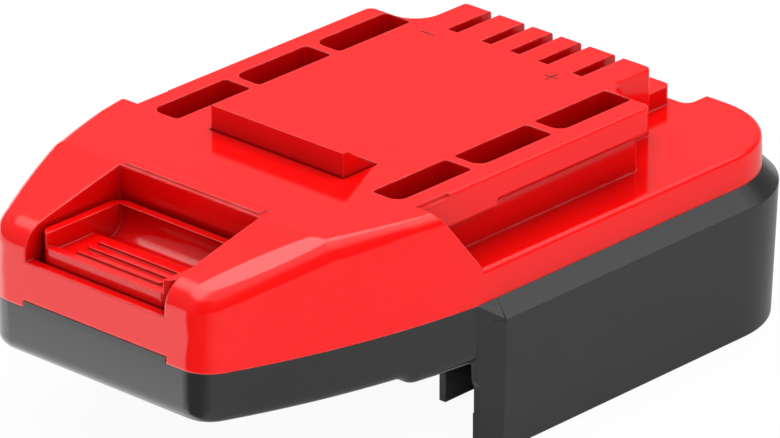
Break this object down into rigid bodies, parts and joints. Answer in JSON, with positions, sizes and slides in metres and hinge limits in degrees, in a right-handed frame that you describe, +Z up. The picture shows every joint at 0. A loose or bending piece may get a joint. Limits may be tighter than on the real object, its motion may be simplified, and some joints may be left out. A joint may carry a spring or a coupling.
{
  "type": "tool battery adapter",
  "caption": "Battery adapter for a cordless tool: slide rails, hook latch with thumb release and terminals on top, skirts with inward rails for a donor slide pack below.",
  "frame": {"origin": "centre of the bounding box at its bottom, which is the lower edge of the skirts", "axes": "+Z up, towards the deck that meets the tool; +Y to the rear, where the terminals are; -Y to the release button; +X to the right seen from the button end"},
  "size_m": [0.0794, 0.131, 0.0479],
  "materials": {
    "red_plastic": "glossy moulded",
    "black_plastic": "semi-gloss moulded",
    "latch_plastic": "glossy moulded",
    "insulator": "matte moulded",
    "contact_brass": "stamped",
    "board": "solder mask",
    "component": "moulded package",
    "can": "drawn",
    "spring_steel": "drawn wire",
    "screw_steel": "blackened"
  },
  "bodies": {
    "housing": {"upper_shell": "red_plastic", "lower_shell": "black_plastic", "latch_spring_left": "spring_steel", "latch_spring_right": "spring_steel", "terminal_holder": "insulator", "blade_holder": "insulator", "circuit_board": "board", "power_bar_negative": "contact_brass", "power_bar_positive": "contact_brass", "capacitor": "can", "power_transistors": "component", "chip_resistors": "component", "case_screws": "screw_steel", "board_screws": "screw_steel", "clip_negative": "contact_brass", "clip_signal_left": "contact_brass", "clip_signal_middle": "contact_brass", "clip_signal_right": "contact_brass", "clip_positive": "contact_brass", "blade_negative": "contact_brass", "blade_signal_left": "contact_brass", "blade_signal_right": "contact_brass", "blade_positive": "contact_brass"},
    "latch": {"release_button": "latch_plastic", "latch_slide": "latch_plastic"}
  },
  "joints": [
    {"name": "latch_press", "type": "slide", "parent": "housing", "child": "latch", "axis": [0, 0, -1], "range_m": [0, 0.0045], "stiffness_N_per_m": 900, "springref_m": -0.003, "deforming": ["latch_spring_left", "latch_spring_right"]}
  ]
}
